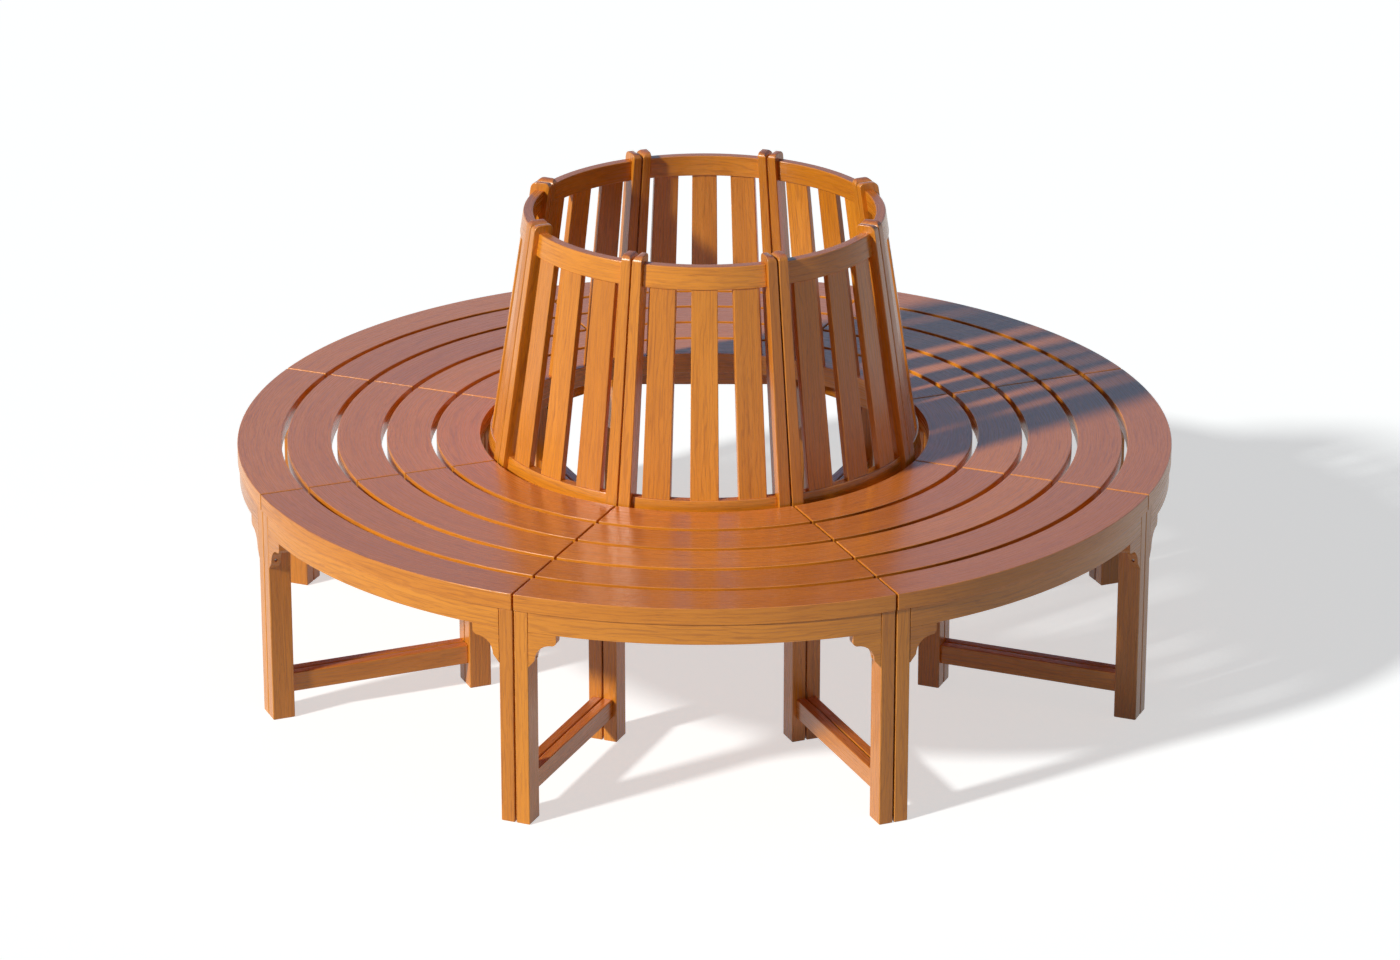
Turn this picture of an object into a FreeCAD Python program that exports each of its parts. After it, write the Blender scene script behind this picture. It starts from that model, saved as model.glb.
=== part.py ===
import FreeCAD, Part
import os
from math import asin, atan, atan2, cos, degrees, pi, radians, sin, sqrt, tan

# Tree bench: a round hardwood bench of equal bays that stands round a tree.
# Sizes are in millimetres and angles in degrees. The origin is on the ground at the centre
# of the ring, +Z is up, and the first bay faces -Y.
# A bay is modelled facing +X, its right end first, and copied round the ring.
# Left and right are as seen by someone who stands outside and faces the bay.

# The ring
bays = 8
first_bay_angle = -90.0
seam_gap = 3.0  # between neighbouring bays

# The seat
seat_radius = 950.0
seat_height = 475.8
seat_slat_rows = 5
seat_slat_width = 89.0
seat_slat_gap = 12.0
seat_slat_thickness = 33.8

# The legs
leg_width = 28.5  # along the ring
leg_depth = 46.0  # towards the tree
outer_leg_inset = 3.0  # outer leg behind the edge of the seat

# The boards under the seat
bearer_height = 41.0
bearer_thickness = 20.0
stretcher_height = 40.0
stretcher_thickness = 20.0
stretcher_lift = 52.0  # ground to the underside of the stretcher
apron_height = 41.0
apron_thickness = 20.5
inner_rail_height = 41.0
inner_rail_thickness = 20.0
seam_pad_length = 60.0
seam_pad_height = 24.0
seam_pad_inset = 40.0  # from the legs

# The corner brackets: a blunt nose, a hollow and a sloping foot against the leg
bracket_reach = 57.0
bracket_drop = 73.0
bracket_nose_height = 13.0
bracket_nose_radius = 9.5
bracket_foot_width = 13.5
bracket_foot_height = 16.5

# The back
back_height = 490.2  # top of the posts above the seat
back_lean = 8.87
post_seat_gap = 3.3  # innermost seat slat to post, at the underside of the slat
post_width = 25.1  # along the ring, on the post's face at the level of the slats' underside
post_depth = 41.0
post_top_radius = 12.0
post_foot_drop = 81.0  # end of the post below the side bearer
block_toe = 8.7  # wedge block between post foot and inner leg, at its thin lower end
back_rail_thickness = 20.0
top_rail_height = 45.0
top_rail_drop = 16.0  # top of the rail below the tops of the posts
bottom_rail_height = 45.0
bottom_rail_rise = 14.2  # top of the rail above the seat
back_slats = 3
back_slat_foot_width = 57.0
back_slat_head_width = 51.0
back_slat_thickness = 14.0

# The tenons of the back rails
rail_tenon_thickness = 10.0
rail_tenon_length = 15.0
rail_tenon_shoulder = 6.0
tenon_play = 0.15  # on each face of a tenon
tenon_end_play = 1.0

# Levels and radii that follow
half_bay = 180.0 / bays
half_gap = seam_gap / 2
slats_underside = seat_height - seat_slat_thickness
bearer_underside = slats_underside - bearer_height
apron_underside = slats_underside - apron_height
row_pitch = seat_slat_width + seat_slat_gap
seat_inner_radius = seat_radius - seat_slat_rows * row_pitch + seat_slat_gap
post_bottom = bearer_underside - post_foot_drop
post_top = seat_height + back_height
back_face_radius = seat_inner_radius - post_seat_gap


def face_radius(level):
    # outer face of the leaning posts at this level
    return back_face_radius - (level - slats_underside) * tan(radians(back_lean))


outer_leg_u = (seat_radius - outer_leg_inset - leg_depth, seat_radius - outer_leg_inset)
inner_leg_face = face_radius(post_bottom) + block_toe
inner_leg_u = (inner_leg_face, inner_leg_face + leg_depth)
leg_t = (half_gap, half_gap + leg_width)
post_angle = degrees(atan((half_gap + post_width) / back_face_radius))
rail_angle = half_bay - post_angle
bearer_z = (bearer_underside, slats_underside)
stretcher_z = (stretcher_lift, stretcher_lift + stretcher_height)
apron_z = (apron_underside, slats_underside)
apron_r = (outer_leg_u[1] - apron_thickness, outer_leg_u[1])
inner_rail_z = (slats_underside - inner_rail_height, slats_underside)
top_rail_z = (post_top - top_rail_drop - top_rail_height, post_top - top_rail_drop)
bottom_rail_top = seat_height + bottom_rail_rise
bottom_rail_z = (bottom_rail_top - bottom_rail_height, bottom_rail_top)
back_slat_z = (bottom_rail_z[1], top_rail_z[0])

origin = FreeCAD.Vector(0, 0, 0)
outwards = FreeCAD.Vector(1, 0, 0)
upwards = FreeCAD.Vector(0, 0, 1)


# Helpers. A span is a pair of low and high values.


def centred(middle, width):
    return (middle - width / 2, middle + width / 2)


def inside(span, margin):
    # the span, drawn in by the margin at both ends, or grown by a negative margin
    return (span[0] + margin, span[1] - margin)


def middle_of(span):
    return (span[0] + span[1]) / 2


def turned(shape, angle):
    copy = shape.copy()
    copy.rotate(origin, upwards, angle)
    return copy


def to_right_end(shape):
    # from the seam's own frame, where the seam runs along +X and the bay is on its -Y side
    return turned(shape, half_bay)


def left_from_right(shape):
    return shape.mirror(origin, FreeCAD.Vector(0, 1, 0))


def polygon(points):
    return Part.Face(Part.makePolygon(points + points[:1]))


def board(u, t, z):
    # a straight board in the seam's frame: u out from the tree, t from the seam into the bay
    corner = FreeCAD.Vector(u[0], -t[1], z[0])
    return Part.makeBox(u[1] - u[0], t[1] - t[0], z[1] - z[0], corner)


def arc_board(r, z, end_offset):
    # a board cut to an arc across the bay, its ends parallel to the seams and end_offset from them
    def corner(radius, side):
        angle = side * (radians(half_bay) - asin(end_offset / radius))
        return FreeCAD.Vector(radius * cos(angle), radius * sin(angle), z[0])

    inner_middle = FreeCAD.Vector(r[0], 0, z[0])
    outer_middle = FreeCAD.Vector(r[1], 0, z[0])
    outline = Part.Wire([
        Part.Arc(corner(r[1], -1), outer_middle, corner(r[1], 1)).toShape(),
        Part.LineSegment(corner(r[1], 1), corner(r[0], 1)).toShape(),
        Part.Arc(corner(r[0], 1), inner_middle, corner(r[0], -1)).toShape(),
        Part.LineSegment(corner(r[0], -1), corner(r[1], -1)).toShape(),
    ])
    return Part.Face(outline).extrude(upwards * (z[1] - z[0]))


def leaning_outline(depths, z):
    # upright outline along the radius, depths measured in from the outer face of the posts
    corners = ((depths[0], z[0]), (depths[0], z[1]), (depths[1], z[1]), (depths[1], z[0]))
    return polygon([FreeCAD.Vector(face_radius(level) - depth, 0, level) for depth, level in corners])


def leaning_ring(depths, z, angle):
    # part of a leaning ring, this angle to each side of the bay's middle
    return turned(leaning_outline(depths, z), -angle).revolve(origin, upwards, 2 * angle)


# The seat


def seat_slat(row):
    outer = seat_radius - row * row_pitch
    return arc_board((outer - seat_slat_width, outer), (slats_underside, seat_height), half_gap)


# The frame under the seat


def side_board(thickness, z):
    # a board along the seam, between the inner leg and the outer leg
    return board((inner_leg_u[1], outer_leg_u[0]), (half_gap, half_gap + thickness), z)


def seam_pad(start):
    # spacer between the side bearers of neighbouring bays
    z = centred(middle_of(bearer_z), seam_pad_height)
    return board((start, start + seam_pad_length), (-half_gap, half_gap), z)


def inner_rail():
    # straight board across the bay, its ends against the middles of the inner legs' sides
    slope = tan(radians(half_bay))
    end_middle = to_right_end(Part.Vertex(middle_of(inner_leg_u), -leg_t[1], 0)).Point
    corners = []
    for side in (-1, 1):
        for depth in centred(0, side * inner_rail_thickness):
            end = side * (end_middle.y + depth * slope)
            corners.append(FreeCAD.Vector(end_middle.x + depth, end, inner_rail_z[0]))
    return polygon(corners).extrude(upwards * inner_rail_height)


def bracket():
    # a flat board with a scroll edge, set on the chord of the apron's curve and trimmed to the leg
    middle = leg_t[1] + bracket_reach / 2
    off_seam = degrees(asin(middle / apron_r[1]))
    face = sqrt(apron_r[1] ** 2 - (bracket_reach / 2) ** 2)
    spare = leg_width / 2

    def point(reach, drop):
        return FreeCAD.Vector(face, bracket_reach / 2 - reach, apron_underside - drop)

    nose_x = bracket_reach - bracket_nose_radius
    nose_y = bracket_nose_height + bracket_nose_radius
    foot_y = bracket_drop - bracket_foot_height
    run = nose_x - bracket_foot_width
    fall = foot_y - nose_y
    hollow_radius = (run * run + fall * fall) / (2 * fall)
    half_sweep = atan2(run, hollow_radius - fall) / 2
    hollow_x = nose_x - hollow_radius * sin(half_sweep)
    hollow_y = nose_y + hollow_radius * (1 - cos(half_sweep))
    nose_mid = bracket_nose_radius * cos(pi / 4)
    nose_start = point(bracket_reach, bracket_nose_height)
    nose_middle = point(nose_x + nose_mid, bracket_nose_height + nose_mid)
    nose_end = point(nose_x, nose_y)
    hollow_end = point(bracket_foot_width, foot_y)
    outline = Part.Wire([
        Part.LineSegment(point(-spare, 0), point(bracket_reach, 0)).toShape(),
        Part.LineSegment(point(bracket_reach, 0), nose_start).toShape(),
        Part.Arc(nose_start, nose_middle, nose_end).toShape(),
        Part.Arc(nose_end, point(hollow_x, hollow_y), hollow_end).toShape(),
        Part.LineSegment(hollow_end, point(0, bracket_drop)).toShape(),
        Part.LineSegment(point(0, bracket_drop), point(-spare, bracket_drop)).toShape(),
        Part.LineSegment(point(-spare, bracket_drop), point(-spare, 0)).toShape(),
    ])
    blank = Part.Face(outline).extrude(outwards * -apron_thickness)
    beside_leg = board(inside(outer_leg_u, -leg_depth), (-leg_width, leg_t[1]), (0, slats_underside))
    return turned(blank, half_bay - off_seam).cut(to_right_end(beside_leg))


def outer_leg():
    return board(outer_leg_u, leg_t, (0, slats_underside))


def inner_leg():
    return board(inner_leg_u, leg_t, (0, slats_underside))


# The back


def back_slat(angle):
    # tapered flat slat that leans with the posts, centred in their depth
    depth = (post_depth - back_slat_thickness) / 2
    foot, head = [FreeCAD.Vector(face_radius(level) - depth, 0, level) for level in back_slat_z]
    foot_half = FreeCAD.Vector(0, back_slat_foot_width / 2, 0)
    head_half = FreeCAD.Vector(0, back_slat_head_width / 2, 0)
    outline = polygon([foot - foot_half, foot + foot_half, head + head_half, head - head_half])
    return turned(outline.extrude(outwards * -back_slat_thickness), angle)


def back_slat_angles():
    # the slats stand in the middles of equal shares of the bay between the posts
    share = 2 * rail_angle / back_slats
    return [(index + 0.5) * share - rail_angle for index in range(back_slats)]


def rail_tenon(z, play, end_play):
    # straight tenon at the right end of a back rail, or its mortise with the play on every side
    depths = centred(post_depth / 2, rail_tenon_thickness + 2 * play)
    outline = leaning_outline(depths, inside(z, rail_tenon_shoulder - play))
    block = outline.extrude(FreeCAD.Vector(0, rail_tenon_length + 2 * end_play, 0))
    block.translate(FreeCAD.Vector(0, -end_play, 0))
    return turned(block, rail_angle)


def back_rail(z):
    body = leaning_ring(centred(post_depth / 2, back_rail_thickness), z, rail_angle)
    right_tenon = rail_tenon(z, 0, 0)
    return body.fuse([right_tenon, left_from_right(right_tenon)]).removeSplitter()


def back_post():
    # leaning outline with a rounded top, cut to a wedge between the seam and the ends of the rails
    outline = leaning_outline((0, post_depth), (post_bottom, post_top))
    slab = outline.extrude(FreeCAD.Vector(0, -2 * post_width - seam_gap, 0))
    top_edges = []
    for edge in slab.Edges:
        level = edge.BoundBox.ZMin
        if abs(level - post_top) < 0.001 and edge.BoundBox.YLength > post_width:
            top_edges.append(edge)
    slab = slab.makeFillet(post_top_radius, top_edges)
    near = (face_radius(post_top) - post_depth) / 2
    far = 2 * face_radius(post_bottom)
    slope = tan(radians(post_angle))
    plan = polygon([
        FreeCAD.Vector(near, -half_gap, post_bottom),
        FreeCAD.Vector(far, -half_gap, post_bottom),
        FreeCAD.Vector(far, -far * slope, post_bottom),
        FreeCAD.Vector(near, -near * slope, post_bottom),
    ])
    shape = to_right_end(slab.common(plan.extrude(upwards * (post_top - post_bottom))))
    mortises = [rail_tenon(z, tenon_play, tenon_end_play) for z in (top_rail_z, bottom_rail_z)]
    return shape.cut(mortises)


def post_block():
    # wedge between the post's foot and the inner leg
    corners = [
        FreeCAD.Vector(face_radius(post_bottom), -half_gap, post_bottom),
        FreeCAD.Vector(inner_leg_face, -half_gap, post_bottom),
        FreeCAD.Vector(inner_leg_face, -half_gap, slats_underside),
        FreeCAD.Vector(face_radius(slats_underside), -half_gap, slats_underside),
    ]
    return polygon(corners).extrude(FreeCAD.Vector(0, -post_width, 0))


# The bench


def write_node(name, bay_shapes):
    # copies the shapes of one bay round the ring and writes them as separate solids of one node
    solids = []
    for index in range(bays):
        angle = first_bay_angle + index * 2 * half_bay
        for shape in bay_shapes:
            solids.extend(turned(shape, angle).Solids)
    Part.makeCompound(solids).exportStep("parts/" + name + ".step")
    print(name, len(solids), "solids", round(sum(solid.Volume for solid in solids)), "mm3")


def write_pair(name, right):
    # a piece at the right end of the bay and its mirror image at the left end
    write_node(name + "_left", [left_from_right(right)])
    write_node(name + "_right", [right])


def main():
    os.makedirs("parts", exist_ok=True)
    for row in range(seat_slat_rows):
        write_node("seat_slat_" + str(row + 1), [seat_slat(row)])
    write_node("apron", [arc_board(apron_r, apron_z, leg_t[1])])
    write_pair("bracket", bracket())
    write_pair("outer_leg", to_right_end(outer_leg()))
    write_pair("inner_leg", to_right_end(inner_leg()))
    write_pair("stretcher", to_right_end(side_board(stretcher_thickness, stretcher_z)))
    write_pair("side_bearer", to_right_end(side_board(bearer_thickness, bearer_z)))
    pad_starts = (inner_leg_u[1] + seam_pad_inset, outer_leg_u[0] - seam_pad_inset - seam_pad_length)
    write_node("seam_pads", [to_right_end(seam_pad(start)) for start in pad_starts])
    write_node("inner_rail", [inner_rail()])
    write_pair("back_post", back_post())
    write_pair("post_block", to_right_end(post_block()))
    write_node("back_top_rail", [back_rail(top_rail_z)])
    write_node("back_bottom_rail", [back_rail(bottom_rail_z)])
    for index, angle in enumerate(back_slat_angles()):
        write_node("back_slat_" + str(index + 1), [back_slat(angle)])


main()
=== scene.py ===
import math
import random

import bpy
from mathutils import Matrix, Vector


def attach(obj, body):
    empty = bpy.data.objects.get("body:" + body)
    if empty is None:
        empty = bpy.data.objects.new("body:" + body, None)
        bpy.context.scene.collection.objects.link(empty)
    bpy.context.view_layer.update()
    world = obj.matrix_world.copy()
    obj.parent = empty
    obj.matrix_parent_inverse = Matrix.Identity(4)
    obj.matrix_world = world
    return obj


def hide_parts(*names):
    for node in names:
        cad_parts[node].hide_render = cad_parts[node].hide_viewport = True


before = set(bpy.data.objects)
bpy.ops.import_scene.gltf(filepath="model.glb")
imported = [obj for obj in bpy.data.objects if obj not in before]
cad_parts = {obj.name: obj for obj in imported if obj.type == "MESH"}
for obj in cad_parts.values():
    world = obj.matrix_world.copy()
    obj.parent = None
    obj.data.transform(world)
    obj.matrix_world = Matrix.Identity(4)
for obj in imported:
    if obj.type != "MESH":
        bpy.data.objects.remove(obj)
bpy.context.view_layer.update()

print("frame loaded:", len(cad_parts), "nodes")

# Metres and degrees. A bay is made facing +X, its right end first, then copied round the ring.
ring = {"bays": 8, "firstBay": -90, "halfGap": 0.0015}
halfBay = math.radians(180 / ring["bays"])
spareAngle = 0.02  # radians that a curved board is made too long at each end, before it is cut
underSeat = 0.442
lean = {"radius": 0.4537, "level": underSeat, "slope": 0.15605, "postDepth": 0.041}  # face of the back posts


class nodeSketch:
    # short words for wiring a node tree; a value is a number, a tuple or another node's socket

    def __init__(self, tree):
        self.tree = tree

    def node(self, kind, **settings):
        made = self.tree.nodes.new(kind)
        for name, value in settings.items():
            setattr(made, name, value)
        return made

    def feed(self, socket, value):
        if isinstance(value, bpy.types.NodeSocket):
            self.tree.links.new(value, socket)
        else:
            socket.default_value = value

    def math(self, operation, a, b=0.0, clamp=False):
        made = self.node("ShaderNodeMath", operation=operation, use_clamp=clamp)
        self.feed(made.inputs[0], a)
        self.feed(made.inputs[1], b)
        return made.outputs[0]

    def parts(self, vector):
        made = self.node("ShaderNodeSeparateXYZ")
        self.feed(made.inputs[0], vector)
        return made.outputs

    def noise(self, place, scale, detail, roughness, distortion=0.0):
        # scale: repeats in a metre along x, y and z
        stretched = self.node("ShaderNodeVectorMath", operation="MULTIPLY")
        self.feed(stretched.inputs[0], place)
        self.feed(stretched.inputs[1], scale)
        made = self.node("ShaderNodeTexNoise")
        self.feed(made.inputs["Vector"], stretched.outputs[0])
        made.inputs["Scale"].default_value = 1.0
        made.inputs["Detail"].default_value = detail
        made.inputs["Roughness"].default_value = roughness
        made.inputs["Distortion"].default_value = distortion
        return made.outputs["Fac"]

    def spread(self, value, low, high, newLow=0.0, newHigh=1.0):
        # a smooth step from newLow to newHigh while the value goes from low to high
        made = self.node("ShaderNodeMapRange", interpolation_type="SMOOTHSTEP")
        self.feed(made.inputs["Value"], value)
        self.feed(made.inputs["From Min"], low)
        self.feed(made.inputs["From Max"], high)
        self.feed(made.inputs["To Min"], newLow)
        self.feed(made.inputs["To Max"], newHigh)
        return made.outputs["Result"]

    def mixed(self, share, a, b, blend="MIX"):
        made = self.node("ShaderNodeMix", data_type="RGBA", blend_type=blend)
        self.feed(made.inputs["Factor"], share)
        self.feed(made.inputs["A"], a)
        self.feed(made.inputs["B"], b)
        return made.outputs["Result"]


def freshSketch(owner):
    owner.use_nodes = True
    owner.node_tree.nodes.clear()
    return nodeSketch(owner.node_tree)


# Camera, light and floor

# lens and sensor are in millimetres
cameraView = {
    "place": (-0.0031, -10.184, 4.333), "tilt": (68.713, 0, 0.034), "lens": 137.29, "sensor": 36, "reach": 60,
}


def addCamera(look):
    camera = bpy.data.objects.new("photoCamera", bpy.data.cameras.new("photoCamera"))
    camera.location = look["place"]
    camera.rotation_euler = [math.radians(angle) for angle in look["tilt"]]
    camera.data.lens = look["lens"]
    camera.data.sensor_width = look["sensor"]
    camera.data.clip_end = look["reach"]
    bpy.context.scene.collection.objects.link(camera)
    bpy.context.scene.camera = camera


# from: degrees to the right of the bench's front, so a minus means the left
keyLight = {
    "from": -56, "height": 30.5, "away": 8,
    "strength": 3.4, "softness": 4.5, "colour": (1.0, 0.975, 0.94),
}


def addKeyLight(look):
    sun = bpy.data.objects.new("keyLight", bpy.data.lights.new("keyLight", "SUN"))
    side = math.radians(look["from"])
    height = math.radians(look["height"])
    level = math.cos(height)
    toLight = Vector((math.sin(side) * level, -math.cos(side) * level, math.sin(height)))
    sun.rotation_euler = toLight.to_track_quat("Z", "Y").to_euler()
    sun.location = toLight * look["away"]
    sun.data.energy = look["strength"]
    sun.data.angle = math.radians(look["softness"])
    sun.data.color = look["colour"]
    bpy.context.scene.collection.objects.link(sun)


# rearAbove, rearBehind: how far up and back a direction points where the blue starts and where it is full
room = {
    "light": (0.80, 0.88, 1.0), "strength": 0.085,
    "backdrop": (1.0, 1.0, 1.0), "rear": (0.11, 0.265, 0.46),
    "rearAbove": (0.12, 0.26), "rearBehind": (0.0, 0.6),
}


def addRoom(look):
    # a soft plain light, and a white backdrop that turns blue high up behind the object
    world = bpy.data.worlds.new("paleRoom")
    bpy.context.scene.world = world
    sketch = freshSketch(world)
    light = sketch.node("ShaderNodeBackground")
    light.inputs["Color"].default_value = (*look["light"], 1)
    light.inputs["Strength"].default_value = look["strength"]
    direction = sketch.parts(sketch.node("ShaderNodeTexCoord").outputs["Generated"])
    above = sketch.spread(direction["Z"], *look["rearAbove"])
    behind = sketch.spread(direction["Y"], *look["rearBehind"])
    share = sketch.math("MULTIPLY", above, behind)
    backdrop = sketch.node("ShaderNodeBackground")
    sketch.feed(backdrop.inputs["Color"], sketch.mixed(share, (*look["backdrop"], 1), (*look["rear"], 1)))
    mixShaders(sketch, light, backdrop, "ShaderNodeOutputWorld")


floorLook = {"size": 24, "bounce": (0.6, 0.6, 0.61), "shade": (0.65, 0.69, 0.70), "glow": 0.59}


def addFloor(look):
    bpy.ops.mesh.primitive_plane_add(size=look["size"], location=(0, 0, 0))
    floor = bpy.context.object
    floor.name = "floor"
    material = bpy.data.materials.new("paleFloor")
    sketch = freshSketch(material)
    plain = sketch.node("ShaderNodeBsdfDiffuse")
    plain.inputs["Color"].default_value = (*look["bounce"], 1)
    shaded = sketch.node("ShaderNodeBsdfDiffuse")
    shaded.inputs["Color"].default_value = (*look["shade"], 1)
    glow = sketch.node("ShaderNodeEmission")
    glow.inputs["Strength"].default_value = look["glow"]
    both = sketch.node("ShaderNodeAddShader")
    sketch.feed(both.inputs[0], shaded.outputs[0])
    sketch.feed(both.inputs[1], glow.outputs[0])
    mixShaders(sketch, plain, both, "ShaderNodeOutputMaterial")
    floor.data.materials.append(material)


def mixShaders(sketch, lighting, seen, outputKind):
    # the second one is what the camera, a gloss or clear glass sees
    path = sketch.node("ShaderNodeLightPath")
    share = sketch.math("MAXIMUM", path.outputs["Is Camera Ray"], path.outputs["Is Glossy Ray"])
    share = sketch.math("MAXIMUM", share, path.outputs["Is Transmission Ray"])
    mix = sketch.node("ShaderNodeMixShader")
    sketch.feed(mix.inputs[0], share)
    sketch.feed(mix.inputs[1], lighting.outputs[0])
    sketch.feed(mix.inputs[2], seen.outputs[0])
    output = sketch.node(outputKind)
    sketch.feed(output.inputs[0], mix.outputs[0])


addCamera(cameraView)
addKeyLight(keyLight)
addRoom(room)
addFloor(floorLook)
bpy.context.scene.view_settings.view_transform = "Standard"
print("camera and studio ready")


# Wood and other finishes


colour, number, vector = "NodeSocketColor", "NodeSocketFloat", "NodeSocketVector"


def newGroup(name, inputs, outputs):
    tree = bpy.data.node_groups.new(name, "ShaderNodeTree")
    for label, kind in inputs:
        tree.interface.new_socket(label, in_out="INPUT", socket_type=kind)
    for label, kind in outputs:
        tree.interface.new_socket(label, in_out="OUTPUT", socket_type=kind)
    return nodeSketch(tree), tree.nodes.new("NodeGroupInput"), tree.nodes.new("NodeGroupOutput")


# A scale is repeats in a metre: along the board, across it and through it. A spread is the range of a
# pattern in which its mark goes from none to full, or from a least to a most where it has four values.
grain = {
    "bands": {"scale": (1.3, 38, 38), "detail": 3, "roughness": 0.5, "distortion": 0.4},
    "drift": {"scale": (0.9, 6, 6), "detail": 2, "roughness": 0.5},
    "fibre": {"scale": (9, 300, 300), "detail": 3, "roughness": 0.6},
    "thread": {"scale": (20, 900, 900), "detail": 2, "roughness": 0.5},
    "pore": {"scale": (34, 560, 560), "detail": 2, "roughness": 0.5},
    "wander": {"scale": (3.2, 21, 21), "detail": 3, "roughness": 0.55},
    "bandsSpread": (0.34, 0.66), "poreSpread": (0.60, 0.70),
    "darkSpread": (0.46, 0.70), "paleSpread": (0.46, 0.26), "paleShare": 0.55,
    "wanderReach": 44, "ringTilt": 0.8, "ringOrder": 760, "ringSpread": (0.45, 0.98),
    "ringOnFibreSpread": (0.30, 0.55, 0.35, 1.0), "ringInDriftSpread": (0.35, 0.6, 0.4, 1.0),
    "tonePowers": (0.8, 1.1, 1.3), "heights": {"fibre": 0.6, "thread": 0.3, "pore": 0.5},
}


def makeWoodGrain(look):
    # figure, fibres and pores that run along each board, from its own places
    sketch, given, result = newGroup("woodGrain", [
        ("Board place", vector), ("Board tone", number),
        ("Pale", colour), ("Middle", colour), ("Dark", colour),
        ("Figure", number), ("Fibre", number), ("Pore", number), ("Rings", number), ("Tone spread", number),
    ], [("Color", colour), ("Height", number), ("Fibre", number)])
    place, pale, dark = [given.outputs[label] for label in ("Board place", "Pale", "Dark")]
    bands, drift, fibre, thread = [
        sketch.noise(place, **look[name]) for name in ("bands", "drift", "fibre", "thread")
    ]
    pore = sketch.spread(sketch.noise(place, **look["pore"]), *look["poreSpread"])

    figure = sketch.math("MULTIPLY", sketch.spread(bands, *look["bandsSpread"]), given.outputs["Figure"])
    base = sketch.mixed(figure, given.outputs["Middle"], pale)
    darker = sketch.math("MULTIPLY", sketch.spread(fibre, *look["darkSpread"]), given.outputs["Fibre"])
    base = sketch.mixed(darker, base, dark)
    most = sketch.math("MULTIPLY", given.outputs["Fibre"], look["paleShare"])
    paler = sketch.math("MULTIPLY", sketch.spread(fibre, *look["paleSpread"]), most)
    base = sketch.mixed(paler, base, pale)
    base = sketch.mixed(sketch.math("MULTIPLY", pore, given.outputs["Pore"]), base, dark)

    # the year rings, as thin wandering lines a few millimetres apart
    spot = sketch.parts(place)
    order = sketch.math("ADD", spot["Y"], sketch.math("MULTIPLY", spot["Z"], look["ringTilt"]))
    order = sketch.math("MULTIPLY", order, look["ringOrder"])
    wander = sketch.math("MULTIPLY", sketch.noise(place, **look["wander"]), look["wanderReach"])
    wave = sketch.math("SINE", sketch.math("ADD", order, wander))
    onFibre = sketch.spread(fibre, *look["ringOnFibreSpread"])
    inDrift = sketch.spread(drift, *look["ringInDriftSpread"])
    rings = sketch.math("MULTIPLY", sketch.spread(wave, *look["ringSpread"]), onFibre)
    rings = sketch.math("MULTIPLY", rings, inDrift)
    base = sketch.mixed(sketch.math("MULTIPLY", rings, given.outputs["Rings"]), base, dark)

    # each board's own tone, which shifts red, green and blue unequally
    tone = sketch.math("ADD", given.outputs["Board tone"], sketch.math("SUBTRACT", drift, 0.5))
    tone = sketch.math("ADD", sketch.math("MULTIPLY", tone, given.outputs["Tone spread"]), 1.0)
    shade = sketch.node("ShaderNodeCombineXYZ")
    for index, power in enumerate(look["tonePowers"]):
        sketch.feed(shade.inputs[index], sketch.math("POWER", tone, power))
    sketch.feed(result.inputs["Color"], sketch.mixed(1.0, base, shade.outputs[0], "MULTIPLY"))

    share = look["heights"]
    height = sketch.math("MULTIPLY", fibre, share["fibre"])
    height = sketch.math("ADD", height, sketch.math("MULTIPLY", thread, share["thread"]))
    height = sketch.math("SUBTRACT", height, sketch.math("MULTIPLY", pore, share["pore"]))
    sketch.feed(result.inputs["Height"], height)
    sketch.feed(result.inputs["Fibre"], fibre)
    return sketch.tree


edgeBreaks = {"pattern": {"scale": (30, 90, 90), "detail": 3, "roughness": 0.6}, "spread": (0.30, 0.62)}


def makeEdgeWear(look):
    # a broken line of wear, from the edge mask of each board
    sketch, given, result = newGroup("edgeWear", [
        ("Board place", vector), ("Edge", number), ("Color", colour), ("Worn", colour), ("Strength", number),
    ], [("Color", colour)])
    broken = sketch.spread(sketch.noise(given.outputs["Board place"], **look["pattern"]), *look["spread"])
    mask = sketch.math("MULTIPLY", broken, given.outputs["Edge"])
    mask = sketch.math("MULTIPLY", mask, given.outputs["Strength"], clamp=True)
    sketch.feed(result.inputs["Color"], sketch.mixed(mask, given.outputs["Color"], given.outputs["Worn"]))
    return sketch.tree


# upwards: the upward part of a face's normal where it starts to count as a top, and where it does in full
dustClouds = {
    "pattern": {"scale": (9, 9, 9), "detail": 4, "roughness": 0.6},
    "spread": (0.25, 0.75, 0.3, 1.0), "upwards": (0.45, 0.9),
}


def makeDust(look):
    # a thin uneven film on what faces up
    sketch, given, result = newGroup("dust", [
        ("Place", vector), ("Normal", vector), ("Color", colour), ("Dust", colour), ("Strength", number),
    ], [("Color", colour), ("Upwards", number)])
    cloud = sketch.spread(sketch.noise(given.outputs["Place"], **look["pattern"]), *look["spread"])
    upwards = sketch.spread(sketch.parts(given.outputs["Normal"])["Z"], *look["upwards"])
    mask = sketch.math("MULTIPLY", cloud, upwards)
    mask = sketch.math("MULTIPLY", mask, given.outputs["Strength"], clamp=True)
    sketch.feed(result.inputs["Color"], sketch.mixed(mask, given.outputs["Color"], given.outputs["Dust"]))
    sketch.feed(result.inputs["Upwards"], upwards)
    return sketch.tree


woodGrain = makeWoodGrain(grain)
edgeWear = makeEdgeWear(edgeBreaks)
dust = makeDust(dustClouds)

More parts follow.
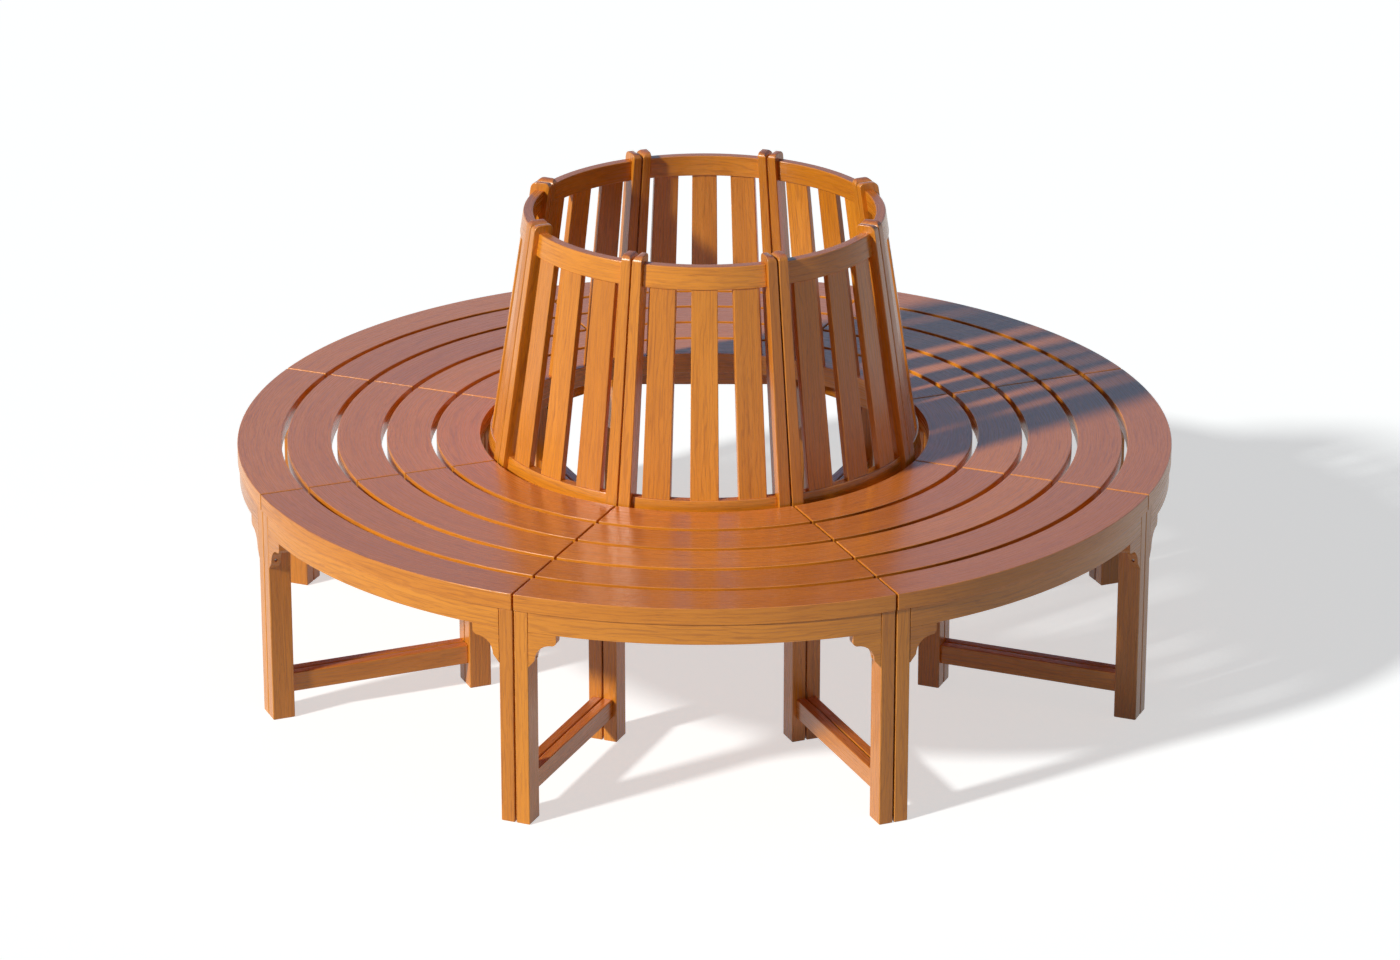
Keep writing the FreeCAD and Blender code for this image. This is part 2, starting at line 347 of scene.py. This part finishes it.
varnish = {"refraction": 1.5, "coatRoughness": 0.2, "fibreSpread": (0.25, 0.75), "bumpDistance": 0.0006}
# The top tint in each wood is painted light and sheen: a colour shift on the faces that look up, standing in
# for the low light and the sky's reflection on the tops.
woods = {
    "seatWood": {
        "Pale": (0.84, 0.312, 0.026), "Middle": (0.75, 0.266, 0.020), "Dark": (0.38, 0.105, 0.014),
        "Figure": 0.45, "Fibre": 0.42, "Pore": 0.45, "Rings": 0.32, "Tone spread": 0.12,
        "worn": (0.82, 0.36, 0.05), "wear": 0.22, "dusty": (0.62, 0.58, 0.52), "dust": 0.03,
        "bump": 0.2, "roughness": (0.22, 0.34),
        "paintedTopLight": (1.04, 0.84, 1.3), "topCoat": 0.85, "sideCoat": 0.06,
    },
    "frameWood": {
        "Pale": (0.77, 0.280, 0.020), "Middle": (0.67, 0.234, 0.015), "Dark": (0.35, 0.100, 0.010),
        "Figure": 0.60, "Fibre": 0.42, "Pore": 0.42, "Rings": 0.40, "Tone spread": 0.13,
        "worn": (0.80, 0.38, 0.06), "wear": 0.26, "dusty": (0.62, 0.58, 0.52), "dust": 0.03,
        "bump": 0.2, "roughness": (0.22, 0.34),
        "paintedTopLight": (0.93, 0.72, 0.9), "topCoat": 0.6, "sideCoat": 0.16,
    },
}


def makeWood(name, look):
    material = bpy.data.materials.new(name)
    sketch = freshSketch(material)
    place = sketch.node("ShaderNodeAttribute", attribute_name="boardPlace").outputs["Vector"]
    tone = sketch.node("ShaderNodeAttribute", attribute_name="boardTone").outputs["Fac"]
    edge = sketch.node("ShaderNodeAttribute", attribute_name="boardEdge").outputs["Fac"]
    figured = sketch.node("ShaderNodeGroup", node_tree=woodGrain)
    sketch.feed(figured.inputs["Board place"], place)
    sketch.feed(figured.inputs["Board tone"], tone)
    for label in ("Pale", "Middle", "Dark"):
        figured.inputs[label].default_value = (*look[label], 1)
    for label in ("Figure", "Fibre", "Pore", "Rings", "Tone spread"):
        figured.inputs[label].default_value = look[label]
    wear = sketch.node("ShaderNodeGroup", node_tree=edgeWear)
    sketch.feed(wear.inputs["Board place"], place)
    sketch.feed(wear.inputs["Edge"], edge)
    sketch.feed(wear.inputs["Color"], figured.outputs["Color"])
    wear.inputs["Worn"].default_value = (*look["worn"], 1)
    wear.inputs["Strength"].default_value = look["wear"]
    film = sketch.node("ShaderNodeGroup", node_tree=dust)
    sketch.feed(film.inputs["Place"], sketch.node("ShaderNodeTexCoord").outputs["Object"])
    sketch.feed(film.inputs["Normal"], sketch.node("ShaderNodeNewGeometry").outputs["Normal"])
    sketch.feed(film.inputs["Color"], wear.outputs["Color"])
    film.inputs["Dust"].default_value = (*look["dusty"], 1)
    film.inputs["Strength"].default_value = look["dust"]

    # the coat lies on what faces up, and a thinner one on the sides
    surface = sketch.node("ShaderNodeBsdfPrincipled")
    upwards = film.outputs["Upwards"]
    # painted light: the faces that look up are tinted to the colour the tops take under the low light and the
    # sky's sheen
    paintedTopColour = sketch.mixed(upwards, film.outputs["Color"], (*look["paintedTopLight"], 1), "MULTIPLY")
    roughness = sketch.spread(figured.outputs["Fibre"], *varnish["fibreSpread"], *look["roughness"])
    coat = sketch.spread(upwards, 0.0, 1.0, look["sideCoat"], look["topCoat"])
    sketch.feed(surface.inputs["Base Color"], paintedTopColour)
    sketch.feed(surface.inputs["Roughness"], roughness)
    sketch.feed(surface.inputs["Coat Weight"], coat)
    surface.inputs["Coat Roughness"].default_value = varnish["coatRoughness"]
    surface.inputs["IOR"].default_value = varnish["refraction"]
    bump = sketch.node("ShaderNodeBump")
    bump.inputs["Strength"].default_value = look["bump"]
    bump.inputs["Distance"].default_value = varnish["bumpDistance"]
    sketch.feed(bump.inputs["Height"], figured.outputs["Height"])
    sketch.feed(surface.inputs["Normal"], bump.outputs["Normal"])
    output = sketch.node("ShaderNodeOutputMaterial")
    sketch.feed(output.inputs["Surface"], surface.outputs[0])
    return material


plains = {
    "zincSteel": {"colour": (0.60, 0.61, 0.60), "roughness": 0.34, "metallic": 1.0, "speck": 0.25},
    "blackPlastic": {"colour": (0.030, 0.030, 0.032), "roughness": 0.5, "metallic": 0.0, "speck": 0.3},
}
speckle = {
    "cloud": {"scale": (160, 160, 160), "detail": 4, "roughness": 0.6}, "cloudSpread": (0.3, 0.7),
    "fine": {"scale": (1400, 1400, 1400), "detail": 2, "roughness": 0.6}, "fineSpread": (0.2, 0.8),
    "glossRange": (0.75, 1.25),
}


def makePlain(name, look):
    # steel and plastic: a fine uneven tone and gloss over the whole piece
    material = bpy.data.materials.new(name)
    sketch = freshSketch(material)
    place = sketch.node("ShaderNodeTexCoord").outputs["Object"]
    cloud = sketch.spread(sketch.noise(place, **speckle["cloud"]), *speckle["cloudSpread"])
    darker = [value * (1 - look["speck"]) for value in look["colour"]]
    lowest, highest = [look["roughness"] * share for share in speckle["glossRange"]]
    fine = sketch.noise(place, **speckle["fine"])
    surface = sketch.node("ShaderNodeBsdfPrincipled")
    sketch.feed(surface.inputs["Base Color"], sketch.mixed(cloud, (*darker, 1), (*look["colour"], 1)))
    sketch.feed(surface.inputs["Roughness"], sketch.spread(fine, *speckle["fineSpread"], lowest, highest))
    surface.inputs["Metallic"].default_value = look["metallic"]
    output = sketch.node("ShaderNodeOutputMaterial")
    sketch.feed(output.inputs["Surface"], surface.outputs[0])
    return material


finishes = {name: makeWood(name, look) for name, look in woods.items()}
for name, look in plains.items():
    finishes[name] = makePlain(name, look)
print("finishes ready:", ", ".join(finishes))


# Modelling tools

sameSpot = 0.00001  # vertices nearer together than this are one
nearby = 0.001  # a vertex this near to a level or a face belongs to it
smoothBelow = math.radians(40)  # sharper edges than this stay sharp
grainShift = (9, 3, 3)  # how far a board's grain is moved at most: along it, across it and through it


def onlySelect(piece):
    if bpy.context.object and bpy.context.object.mode != "OBJECT":
        bpy.ops.object.mode_set(mode="OBJECT")
    bpy.ops.object.select_all(action="DESELECT")
    piece.select_set(True)
    bpy.context.view_layer.objects.active = piece


def applyPlace(piece):
    onlySelect(piece)
    bpy.ops.object.transform_apply(location=True, rotation=True, scale=True)


def pick(piece, wanted):
    # selects the vertices for which wanted(place) is true, then goes into edit mode
    onlySelect(piece)
    bpy.ops.object.mode_set(mode="EDIT")
    bpy.ops.mesh.select_mode(type="VERT")
    bpy.ops.mesh.select_all(action="DESELECT")
    bpy.ops.object.mode_set(mode="OBJECT")
    for vertex in piece.data.vertices:
        vertex.select = wanted(vertex.co)
    bpy.ops.object.mode_set(mode="EDIT")


def everywhere(place):
    return True


def backToObject():
    bpy.ops.object.mode_set(mode="OBJECT")


def middle(span):
    return (span[0] + span[1]) / 2


def length(span):
    return span[1] - span[0]


def box(name, x, y, z):
    bpy.ops.mesh.primitive_cube_add(size=1, location=(middle(x), middle(y), middle(z)))
    piece = bpy.context.object
    piece.name = name
    piece.scale = (length(x), length(y), length(z))
    applyPlace(piece)
    return piece


def postFace(level):
    return lean["radius"] - (level - lean["level"]) * lean["slope"]


def tip(piece):
    # leans an upright piece towards the tree, as the posts do
    lift = Matrix.Identity(4)
    lift[0][2] = -lean["slope"]
    lift[0][3] = lean["slope"] * lean["level"]
    piece.data.transform(lift)
    piece.data.update()


def tidyMesh(piece):
    pick(piece, everywhere)
    bpy.ops.mesh.remove_doubles(threshold=sameSpot)
    bpy.ops.mesh.normals_make_consistent(inside=False)
    backToObject()


def cutAway(piece, place, normal):
    # removes what lies beyond a plane and closes the cut
    pick(piece, everywhere)
    bpy.ops.mesh.bisect(plane_co=place, plane_no=normal, use_fill=True, clear_outer=True)
    backToObject()


def cutAtSeam(piece, offset, sides=(1, -1)):
    # trims the ends parallel to the seams, this far from them
    for side in sides:
        angle = side * halfBay
        normal = Vector((-math.sin(angle) * side, math.cos(angle) * side, 0))
        cutAway(piece, -normal * offset, normal)


def spunBoard(name, radii, levels, halfAngle, steps, leaning=False):
    # a board section spun about the tree, this angle to each side of the bay's middle
    upright = (math.pi / 2, 0, 0)
    bpy.ops.mesh.primitive_plane_add(size=1, location=(middle(radii), 0, middle(levels)), rotation=upright)
    piece = bpy.context.object
    piece.name = name
    piece.scale = (length(radii), length(levels), 1)
    applyPlace(piece)
    if leaning:
        tip(piece)
    pick(piece, everywhere)
    bpy.ops.mesh.spin(steps=steps, angle=2 * halfAngle, center=(0, 0, 0), axis=(0, 0, 1))
    backToObject()
    piece.rotation_euler[2] = halfAngle
    applyPlace(piece)
    tidyMesh(piece)
    return piece


def rounded(piece, width, segments, angle=50, material=-1):
    # rounds the edges that are sharper than the angle, in degrees
    onlySelect(piece)
    rounding = piece.modifiers.new("rounding", "BEVEL")
    rounding.width = width
    rounding.segments = segments
    rounding.limit_method = "ANGLE"
    rounding.angle_limit = math.radians(angle)
    rounding.material = material
    bpy.ops.object.modifier_apply(modifier="rounding")


def ease(piece, width, segments=3, angle=35):
    # rounds the sharp edges, and marks the middle of each rounding for the edge wear
    piece.data.materials.clear()
    for name in ("body", "edge"):
        piece.data.materials.append(bpy.data.materials.get(name) or bpy.data.materials.new(name))
    rounded(piece, width, segments, angle, material=1)
    flat = set()
    for face in piece.data.polygons:
        if face.material_index == 0:
            flat.update(face.vertices)
        face.material_index = 0
    mask = piece.data.attributes.new("boardEdge", "FLOAT", "POINT")
    onEdge = [float(vertex.index not in flat) for vertex in piece.data.vertices]
    mask.data.foreach_set("value", onEdge)
    piece.data.materials.clear()


# Each of these gives a vertex's place on its own board: along it, across it and through it


def alongX(place):
    return place.x, place.y, place.z


def alongZ(place):
    return place.z, place.x, place.y


def alongY(place):
    return place.y, place.x, place.z


def alongArc(place):
    radius = math.hypot(place.x, place.y)
    return radius * math.atan2(place.y, place.x), radius, place.z


def alongLean(place):
    return place.z, place.y, place.x + place.z * lean["slope"]


def layGrain(piece, toBoard):
    # keeps each vertex's place on its own board, for the grain
    places = piece.data.attributes.new("boardPlace", "FLOAT_VECTOR", "POINT")
    values = [value for vertex in piece.data.vertices for value in toBoard(vertex.co)]
    places.data.foreach_set("vector", values)


def copyOf(piece, turn, mirrorY):
    # a copy with its own mesh, mirrored if asked and turned about the tree
    made = piece.copy()
    made.data = piece.data.copy()
    made.name = "copy"
    bpy.context.scene.collection.objects.link(made)
    if mirrorY:
        made.data.transform(Matrix.Scale(-1, 4, (0, 1, 0)))
        made.data.flip_normals()
    made.data.transform(Matrix.Rotation(turn, 4, "Z"))
    return made


def ownBoard(piece, seed):
    # another part of a trunk for each board: its own stretch of grain and its own tone
    dice = random.Random(seed)
    shift = [dice.uniform(-reach, reach) for reach in grainShift]
    places = piece.data.attributes["boardPlace"]
    values = [0.0] * (3 * len(piece.data.vertices))
    places.data.foreach_get("vector", values)
    places.data.foreach_set("vector", [value + shift[index % 3] for index, value in enumerate(values)])
    tone = piece.data.attributes.new("boardTone", "FLOAT", "POINT")
    tone.data.foreach_set("value", [dice.uniform(-1, 1)] * len(piece.data.vertices))


def joined(pieces, name):
    onlySelect(pieces[0])
    for piece in pieces:
        piece.select_set(True)
    if len(pieces) > 1:
        bpy.ops.object.join()
    made = bpy.context.object
    made.name = name
    made.data.name = name
    return made


def finish(piece, finishName, node=None):
    # the material, the shading, and the body that the piece belongs to; the node it stands for is hidden
    onlySelect(piece)
    piece.data.materials.clear()
    piece.data.materials.append(finishes[finishName])
    bpy.ops.object.shade_smooth_by_angle(angle=smoothBelow)
    weights = piece.modifiers.new("flatFaces", "WEIGHTED_NORMAL")
    weights.keep_sharp = True
    bpy.ops.object.modifier_apply(modifier="flatFaces")
    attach(piece, "root")
    if node:
        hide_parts(node)


def roundTheRing(patterns, name, finishName, node=None, mirror=False, wooden=True):
    # the pattern pieces of one bay, repeated for every bay and joined into one
    made = []
    for bay in range(ring["bays"]):
        turn = math.radians(ring["firstBay"]) + 2 * halfBay * bay
        for index, pattern in enumerate(patterns):
            piece = copyOf(pattern, turn, mirror)
            if wooden:
                ownBoard(piece, name + str(bay) + "-" + str(index))
            made.append(piece)
    finish(joined(made, name), finishName, node)


def discard(pieces):
    for piece in pieces:
        bpy.data.meshes.remove(piece.data)


def bothSides(pattern, name):
    # frame timber at the right end of each bay, and its mirror image at the left end
    roundTheRing([pattern], name + "Right", "frameWood", nodeName(name, "right"))
    roundTheRing([pattern], name + "Left", "frameWood", nodeName(name, "left"), mirror=True)
    discard([pattern])


def bothEnds(patterns, name):
    # the same for steel pieces, which have no node of their own
    roundTheRing(patterns, name + "Right", "zincSteel", wooden=False)
    roundTheRing(patterns, name + "Left", "zincSteel", mirror=True, wooden=False)
    discard(patterns)


def disc(radius, low, high, sides=20):
    # a round or many-sided piece that stands upright
    bpy.ops.mesh.primitive_cylinder_add(vertices=sides, radius=radius, depth=high - low,
                                        location=(0, 0, (low + high) / 2))
    piece = bpy.context.object
    applyPlace(piece)
    return piece


def drive(piece, top, thickness, depth):
    # sinks a socket into the top
    pick(piece, lambda place: place.z > top - sameSpot)
    bpy.ops.mesh.inset(thickness=thickness)
    bpy.ops.transform.translate(value=(0, 0, -depth))
    backToObject()


def stood(piece, place, direction):
    # turns an upright piece to point along the direction, its foot at the place
    aim = Vector(direction).to_track_quat("Z", "Y").to_matrix().to_4x4()
    piece.data.transform(Matrix.Translation(place) @ aim)
    piece.data.update()
    return piece


screwShape = {"sunk": 0.0006, "proud": 0.0005, "sides": 12, "driveShare": 0.5, "driveDepth": 0.0004}


def screwHead(look, radius):
    piece = disc(radius, -look["sunk"], look["proud"], look["sides"])
    drive(piece, look["proud"], radius * look["driveShare"], look["driveDepth"])
    return piece


def nodeName(name, side):
    # backPost and right give back_post_right
    words = "".join("_" + letter.lower() if letter.isupper() else letter for letter in name)
    return words + "_" + side


# The seat

# joint: how far the ends stand back, for a fine dark line at the seam
seat = {
    "radius": 0.950, "rows": 5, "width": 0.089, "pitch": 0.101, "top": 0.4758,
    "joint": 0.0006, "rounding": 0.0014, "steps": 30,
}


def makeSeat(look):
    for row in range(look["rows"]):
        outer = look["radius"] - row * look["pitch"]
        radii = (outer - look["width"], outer)
        slat = spunBoard("slat", radii, (underSeat, look["top"]), halfBay + spareAngle, look["steps"])
        cutAtSeam(slat, ring["halfGap"] + look["joint"])
        ease(slat, look["rounding"])
        layGrain(slat, alongArc)
        node = "seat_slat_" + str(row + 1)
        roundTheRing([slat], "seatSlat" + str(row + 1), "seatWood", node)
        discard([slat])


makeSeat(seat)
print("seat made")


# The frame under the seat, in the seam's frame: u out from the tree, t from the seam into the bay

legs = {
    "outer": (0.901, 0.947), "inner": (0.48144, 0.52744), "across": (ring["halfGap"], 0.030),
    "rounding": 0.0022,
}


def seamBoard(u, t, z, rounding, toBoard):
    piece = box("board", u, (-t[1], -t[0]), z)
    ease(piece, rounding)
    layGrain(piece, toBoard)
    piece.data.transform(Matrix.Rotation(halfBay, 4, "Z"))
    return piece


def makeLegs(look):
    for name in ("outer", "inner"):
        leg = seamBoard(look[name], look["across"], (0, underSeat), look["rounding"], alongZ)
        bothSides(leg, name + "Leg")


legSeat = 0.0002  # how far the side boards run into the legs, so that no light shows between
sideBoards = {
    "stretcher": {"levels": (0.052, 0.092), "across": (ring["halfGap"], 0.0215), "rounding": 0.002},
    "sideBearer": {"levels": (0.401, underSeat), "across": (ring["halfGap"], 0.0215), "rounding": 0.0015},
}


def makeSideBoards(looks):
    u = (legs["inner"][1] - legSeat, legs["outer"][0] + legSeat)
    for name, look in looks.items():
        board = seamBoard(u, look["across"], look["levels"], look["rounding"], alongX)
        bothSides(board, name)


# joint: the fine dark line between the apron or a bracket and its leg
apron = {
    "radii": (0.9265, legs["outer"][1]), "levels": (0.401, 0.4414),
    "joint": 0.0006, "rounding": 0.001, "steps": 30,
}


def makeApron(look):
    piece = spunBoard("board", look["radii"], look["levels"], halfBay + spareAngle, look["steps"])
    cutAtSeam(piece, legs["across"][1] + look["joint"])
    ease(piece, look["rounding"])
    layGrain(piece, alongArc)
    roundTheRing([piece], "apron", "frameWood", "apron")
    discard([piece])


innerRail = {"thickness": 0.020, "blankHalf": 0.3, "levels": (0.401, underSeat), "rounding": 0.0015}


def makeInnerRail(look):
    across = middle(legs["inner"]) * math.cos(halfBay) + legs["across"][1] * math.sin(halfBay)
    half = look["thickness"] / 2
    ends = (-look["blankHalf"], look["blankHalf"])
    piece = box("rail", (across - half, across + half), ends, look["levels"])
    cutAtSeam(piece, legs["across"][1])
    ease(piece, look["rounding"])
    layGrain(piece, alongY)
    roundTheRing([piece], "innerRail", "frameWood", "inner_rail")
    discard([piece])


def startPoint(name):
    # one loose vertex at the origin, to draw an outline from
    bpy.ops.mesh.primitive_plane_add()
    piece = bpy.context.object
    piece.name = name
    pick(piece, everywhere)
    bpy.ops.mesh.merge(type="CENTER")
    return piece


def drawTo(x, z):
    bpy.ops.mesh.extrude_region_move(TRANSFORM_OT_translate={"value": (x, 0, z)})


def sweepRound(x, z, angle, steps):
    bpy.ops.mesh.spin(steps=steps, angle=math.radians(angle), center=(x, 0, z), axis=(0, 1, 0))


def closeOutline(depth):
    # fills the outline and gives it its thickness
    bpy.ops.mesh.select_all(action="SELECT")
    bpy.ops.mesh.remove_doubles(threshold=sameSpot)
    bpy.ops.mesh.edge_face_add()
    bpy.ops.mesh.extrude_region_move(TRANSFORM_OT_translate={"value": (0, depth, 0)})
    bpy.ops.mesh.select_all(action="SELECT")
    bpy.ops.mesh.normals_make_consistent(inside=False)
    backToObject()


# spare: how far the board runs on towards the leg before it is cut off there
# boreAt: degrees round the hollow, from its top towards the leg
bracket = {
    "reach": 0.057, "drop": 0.073, "thickness": 0.0205, "spare": 0.010, "rounding": 0.0009,
    "nose": 0.013, "noseRadius": 0.0095, "noseSteps": 8, "hollowSteps": 14,
    "footWidth": 0.0135, "footHeight": 0.0165,
    "boreAt": 82, "boreRadius": 0.0034, "boreDepth": 0.006, "boreSides": 16, "screwRadius": 0.00306,
}


def makeBracket(look):
    reach, drop, nose, radius = look["reach"], look["drop"], look["nose"], look["noseRadius"]
    hollow = reach - radius - look["footWidth"]
    piece = startPoint("bracket")
    bpy.ops.transform.translate(value=(-look["spare"], 0, 0))
    drawTo(reach + look["spare"], 0)
    drawTo(0, -nose)
    sweepRound(reach - radius, -nose, -90, look["noseSteps"])
    sweepRound(reach - radius, -nose - radius - hollow, 90, look["hollowSteps"])
    drawTo(-look["footWidth"], -look["footHeight"])
    drawTo(-look["spare"], 0)
    drawTo(0, drop)
    closeOutline(look["thickness"])

    # the sunk hole for the screw, at a right angle to the face of the hollow
    turn = math.radians(look["boreAt"])
    inwards = Vector((-math.sin(turn), 0, math.cos(turn)))
    centre = Vector((reach - radius, look["thickness"] / 2, -nose - radius - hollow))
    bore(piece, centre + inwards * hollow, inwards, look)
    ease(piece, look["rounding"], segments=2, angle=50)
    boreEnd = centre + inwards * (hollow + look["boreDepth"])
    screw = stood(screwHead(screwShape, look["screwRadius"]), boreEnd, -inwards)

    # both stand in the plane of the apron at the right end of the bay, the reach towards the middle
    start = legs["across"][1] + reach / 2
    face = math.sqrt(apron["radii"][1] ** 2 - (reach / 2) ** 2)
    stand = Matrix(((0, -1, 0, face), (-1, 0, 0, reach / 2), (0, 0, 1, apron["levels"][0]), (0, 0, 0, 1)))
    toSeam = Matrix.Rotation(halfBay - math.asin(start / apron["radii"][1]), 4, "Z")
    piece.data.transform(stand)
    piece.data.update()
    layGrain(piece, alongY)
    piece.data.transform(toSeam)
    cutAtSeam(piece, legs["across"][1] + apron["joint"], sides=(1,))
    tidyMesh(piece)
    bothSides(piece, "bracket")
    screw.data.transform(toSeam @ stand)
    tidyMesh(screw)
    bothEnds([screw], "bracketScrews")


def bore(piece, place, direction, look):
    onlySelect(piece)
    bpy.ops.mesh.primitive_cylinder_add(
        vertices=look["boreSides"], radius=look["boreRadius"], depth=2 * look["boreDepth"], location=place,
        rotation=direction.to_track_quat("Z", "Y").to_euler())
    drill = bpy.context.object
    applyPlace(drill)
    onlySelect(piece)
    cut = piece.modifiers.new("bore", "BOOLEAN")
    cut.operation = "DIFFERENCE"
    cut.object = drill
    cut.solver = "EXACT"
    bpy.ops.object.modifier_apply(modifier="bore")
    discard([drill])


makeLegs(legs)
makeSideBoards(sideBoards)
makeApron(apron)
makeInnerRail(innerRail)
makeBracket(bracket)
print("frame under the seat made")


# The back

# angle: degrees from the seam to the post's face towards the slats
post = {
    "levels": (0.320, 0.966), "angle": 3.3554, "blankWidth": 0.040,
    "topRadius": 0.012, "topSteps": 7, "rounding": 0.0018,
}


def makePosts(look):
    depth = lean["postDepth"]
    high = look["levels"][1]
    width = (-look["blankWidth"], -ring["halfGap"])
    piece = box("post", (lean["radius"] - depth, lean["radius"]), width, look["levels"])
    pick(piece, lambda place: place.z > high - nearby)
    bpy.ops.mesh.select_mode(type="EDGE")
    backToObject()
    for edge in piece.data.edges:
        ends = [piece.data.vertices[index].co for index in edge.vertices]
        edge.select = all(end.z > high - nearby for end in ends) and abs(ends[0].x - ends[1].x) < nearby
    bpy.ops.object.mode_set(mode="EDIT")
    bpy.ops.mesh.bevel(offset=look["topRadius"], segments=look["topSteps"], affect="EDGES")
    backToObject()
    tip(piece)
    angle = math.radians(look["angle"])
    cutAway(piece, (0, 0, 0), (-math.sin(angle), -math.cos(angle), 0))
    ease(piece, look["rounding"], angle=50)
    layGrain(piece, alongLean)
    piece.data.transform(Matrix.Rotation(halfBay, 4, "Z"))
    bothSides(piece, "backPost")


postBlock = {"levels": (post["levels"][0], underSeat), "width": 0.0251, "rounding": 0.001}


def makePostBlocks(look):
    low, high = look["levels"]
    width = (-look["width"] - ring["halfGap"], -ring["halfGap"])
    piece = box("block", (postFace(low), legs["inner"][0]), width, look["levels"])
    pick(piece, lambda place: place.z > high - nearby and place.x < postFace(low) + nearby)
    bpy.ops.transform.translate(value=(postFace(high) - postFace(low), 0, 0))
    backToObject()
    ease(piece, look["rounding"], segments=2)
    layGrain(piece, alongZ)
    piece.data.transform(Matrix.Rotation(halfBay, 4, "Z"))
    bothSides(piece, "postBlock")


rails = {
    "thickness": 0.020, "rounding": 0.0018, "steps": 24, "endSeat": 0.0004,  # radians into the posts
    "backTopRail": (0.905, 0.950), "backBottomRail": (0.445, 0.490),
}


def makeBackRails(look):
    face = lean["radius"] - lean["postDepth"] / 2
    radii = (face - look["thickness"] / 2, face + look["thickness"] / 2)
    halfAngle = halfBay - math.radians(post["angle"]) + look["endSeat"]
    for name, node in (("backTopRail", "back_top_rail"), ("backBottomRail", "back_bottom_rail")):
        piece = spunBoard("rail", radii, look[name], halfAngle, look["steps"], leaning=True)
        ease(piece, look["rounding"])
        layGrain(piece, alongArc)
        roundTheRing([piece], name, "frameWood", node)
        discard([piece])


backSlats = {
    "count": 3, "levels": (rails["backBottomRail"][1], rails["backTopRail"][0]), "housing": 0.006,
    "thickness": 0.014, "footWidth": 0.057, "headWidth": 0.051, "rounding": 0.0018,
}


def makeBackSlats(look):
    low = look["levels"][0] - look["housing"]
    high = look["levels"][1] + look["housing"]
    mid = lean["radius"] - lean["postDepth"] / 2
    half = look["thickness"] / 2
    halfWidth = look["footWidth"] / 2
    railAngle = halfBay - math.radians(post["angle"])
    for index in range(look["count"]):
        piece = box("slat", (mid - half, mid + half), (-halfWidth, halfWidth), (low, high))
        pick(piece, lambda place: place.z > high - nearby)
        bpy.ops.transform.resize(value=(1, look["headWidth"] / look["footWidth"], 1))
        backToObject()
        ease(piece, look["rounding"])
        tip(piece)
        layGrain(piece, alongLean)
        share = 2 * railAngle / look["count"]
        piece.data.transform(Matrix.Rotation((index + 0.5) * share - railAngle, 4, "Z"))
        name = "backSlat" + str(index + 1)
        roundTheRing([piece], name, "frameWood", "back_slat_" + str(index + 1))
        discard([piece])


makePosts(post)
makePostBlocks(postBlock)
makeBackRails(rails)
makeBackSlats(backSlats)
print("back made")


# The fasteners: coach bolts through post, block and inner leg, joining bolts through the bearers, and
# wood screws up into the slats

# joiningAt, screwsAt: places along a side bearer, out from the tree
fasteners = {
    "bolt": 0.003, "boltSides": 12, "tail": 0.002, "washer": 0.009, "washerHeight": 0.0012,
    "nutAcross": 0.010, "nutHeight": 0.006, "nutRounding": 0.0004,
    "head": 0.008, "headHeight": 0.004, "headSides": 24, "headRounding": 0.0018, "headSunk": 0.0015,
    "headDrive": 0.0045, "driveDepth": 0.002, "screw": 0.0042,
    "boltLevel": 0.361, "boltAcross": 0.01405, "joiningAt": (0.56744, 0.861),
    "screwsAt": (0.538, 0.6025, 0.7035, 0.8045, 0.882),
}


def boltHead(look):
    piece = disc(look["head"], 0, look["headHeight"], look["headSides"])
    rounded(piece, look["headRounding"], segments=3)
    drive(piece, look["headHeight"], look["headDrive"], look["driveDepth"])
    return piece


def nut(look):
    washer = disc(look["washer"], 0, look["washerHeight"])
    start = look["washerHeight"]
    hexagon = disc(look["nutAcross"] / math.sqrt(3), start, start + look["nutHeight"], 6)
    rounded(hexagon, look["nutRounding"], segments=1)
    end = disc(look["bolt"], start, start + look["nutHeight"] + look["tail"], look["boltSides"])
    return joined([washer, hexagon, end], "nut")


def makeFasteners(look):
    level, across = look["boltLevel"], -look["boltAcross"]
    bearer = sideBoards["sideBearer"]
    headAt = postFace(level) - lean["postDepth"] + look["headSunk"]
    heads = [stood(boltHead(look), (headAt, across, level), (-1, 0, 0))]
    nuts = [stood(nut(look), (legs["inner"][1], across, level), (1, 0, 0))]
    for u in look["joiningAt"]:
        nuts.append(stood(nut(look), (u, -bearer["across"][1], middle(bearer["levels"])), (0, -1, 0)))
    screws = []
    for u in look["screwsAt"]:
        place = (u, -middle(bearer["across"]), bearer["levels"][0])
        screws.append(stood(screwHead(screwShape, look["screw"]), place, (0, 0, -1)))
    for patterns, name in ((heads, "boltHeads"), (nuts, "nuts"), (screws, "slatScrews")):
        for piece in patterns:
            piece.data.transform(Matrix.Rotation(halfBay, 4, "Z"))
        bothEnds(patterns, name)


makeFasteners(fasteners)
print("fasteners made")


# What is left of the frame keeps its shape and gets its finish

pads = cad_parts["seam_pads"]
pads.data.materials.clear()
pads.data.materials.append(finishes["blackPlastic"])
